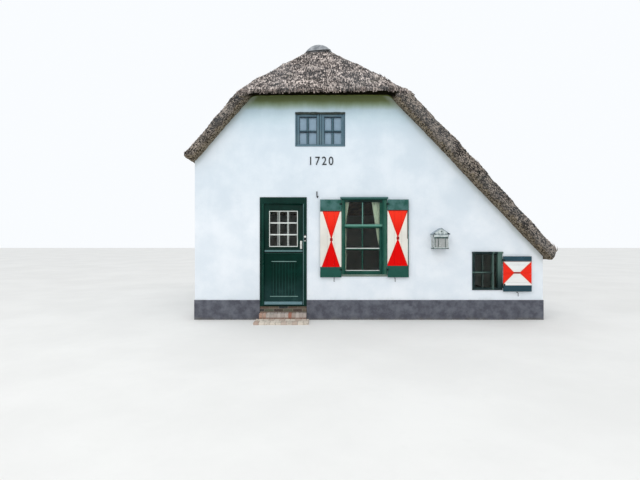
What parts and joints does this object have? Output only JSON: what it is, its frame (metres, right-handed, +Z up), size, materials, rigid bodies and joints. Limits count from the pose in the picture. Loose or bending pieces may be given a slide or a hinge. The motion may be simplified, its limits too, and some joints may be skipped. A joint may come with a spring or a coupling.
{
  "type": "thatched cottage",
  "caption": "Hollow white cottage under a half-hipped reed roof with one long low slope, with a stable door, sash window, swinging hourglass-pattern shutters and a wall lantern.",
  "frame": {"origin": "on the ground under the ridge, halfway between the outer faces of the front and the back wall", "axes": "+X to the right along the facade, +Y from the facade into the house, +Z up"},
  "size_m": [8.185, 9.85, 6.985],
  "materials": {
    "lime_wall": "limewashed masonry, slightly uneven",
    "tarred_plinth": "weathered tar on masonry",
    "reed_thatch": "weathered water reed, matte",
    "ridge_cap": "grey weathered ridge cover",
    "brick": "worn brick and mortar",
    "floor_stone": "plain stone bed",
    "attic_boards": "bare boards",
    "dark_green_paint": "dark green gloss paint on wood",
    "green_paint": "green gloss paint on wood",
    "grey_green_paint": "grey-green paint on wood",
    "shutter_paint": "red, cream and green paint on wood",
    "window_glass": "clear window glass",
    "curtain_cloth": "thin pale cloth",
    "lantern_metal": "grey-green zinc",
    "steel": "satin steel"
  },
  "bodies": {
    "house": {"front_wall_left": "lime_wall", "front_wall_right": "lime_wall", "front_gable": "lime_wall", "back_wall": "lime_wall", "back_gable": "lime_wall", "left_wall": "lime_wall", "right_wall": "lime_wall", "plinth_front_left": "tarred_plinth", "plinth_front_right": "tarred_plinth", "plinth_back": "tarred_plinth", "plinth_left": "tarred_plinth", "plinth_right": "tarred_plinth", "thatch_front_hip": "reed_thatch", "thatch_back_hip": "reed_thatch", "thatch_left_slope": "reed_thatch", "thatch_right_slope": "reed_thatch", "ridge_cap": "ridge_cap", "door_threshold": "brick", "upper_step": "brick", "lower_step": "brick", "ground_floor": "floor_stone", "attic_floor": "attic_boards", "door_frame": "dark_green_paint", "small_window_frame": "dark_green_paint", "main_window_frame": "green_paint", "main_window_head": "green_paint", "upper_sash": "green_paint", "lower_sash": "green_paint", "back_window_1_frame": "green_paint", "back_window_2_frame": "green_paint", "side_window_1_frame": "green_paint", "side_window_2_frame": "green_paint", "attic_window_frame": "grey_green_paint", "attic_left_casement": "grey_green_paint", "attic_right_casement": "grey_green_paint", "back_attic_frame": "grey_green_paint", "upper_sash_glass": "window_glass", "lower_sash_glass": "window_glass", "small_window_glass": "window_glass", "attic_left_glass": "window_glass", "attic_right_glass": "window_glass", "back_attic_glass": "window_glass", "back_window_1_glass": "window_glass", "back_window_2_glass": "window_glass", "side_window_1_glass": "window_glass", "side_window_2_glass": "window_glass", "curtain_left": "curtain_cloth", "curtain_right": "curtain_cloth", "wall_lantern": "lantern_metal", "doorbell": "steel"},
    "upper_door": {"upper_door": "dark_green_paint", "upper_door_glass": "window_glass", "door_handle": "steel"},
    "lower_door": {"lower_door": "dark_green_paint"},
    "left_shutter": {"left_shutter": "shutter_paint"},
    "right_shutter": {"right_shutter": "shutter_paint"},
    "small_shutter": {"small_shutter": "shutter_paint"}
  },
  "joints": [
    {"name": "upper_door_swing", "type": "hinge", "parent": "house", "child": "upper_door", "pos_m": [-1.239, -4.41, 2.04], "axis": [0, 0, 1], "range_deg": [0, 90]},
    {"name": "lower_door_swing", "type": "hinge", "parent": "house", "child": "lower_door", "pos_m": [-1.239, -4.41, 0.91], "axis": [0, 0, 1], "range_deg": [0, 90]},
    {"name": "left_shutter_swing", "type": "hinge", "parent": "house", "child": "left_shutter", "pos_m": [0.515, -4.54, 1.805], "axis": [0, 0, 1], "range_deg": [0, 180]},
    {"name": "right_shutter_swing", "type": "hinge", "parent": "house", "child": "right_shutter", "pos_m": [1.51, -4.54, 1.805], "axis": [0, 0, 1], "range_deg": [-180, 0]},
    {"name": "small_shutter_swing", "type": "hinge", "parent": "house", "child": "small_shutter", "pos_m": [4.07, -4.54, 1.02], "axis": [0, 0, 1], "range_deg": [-180, 0]}
  ]
}
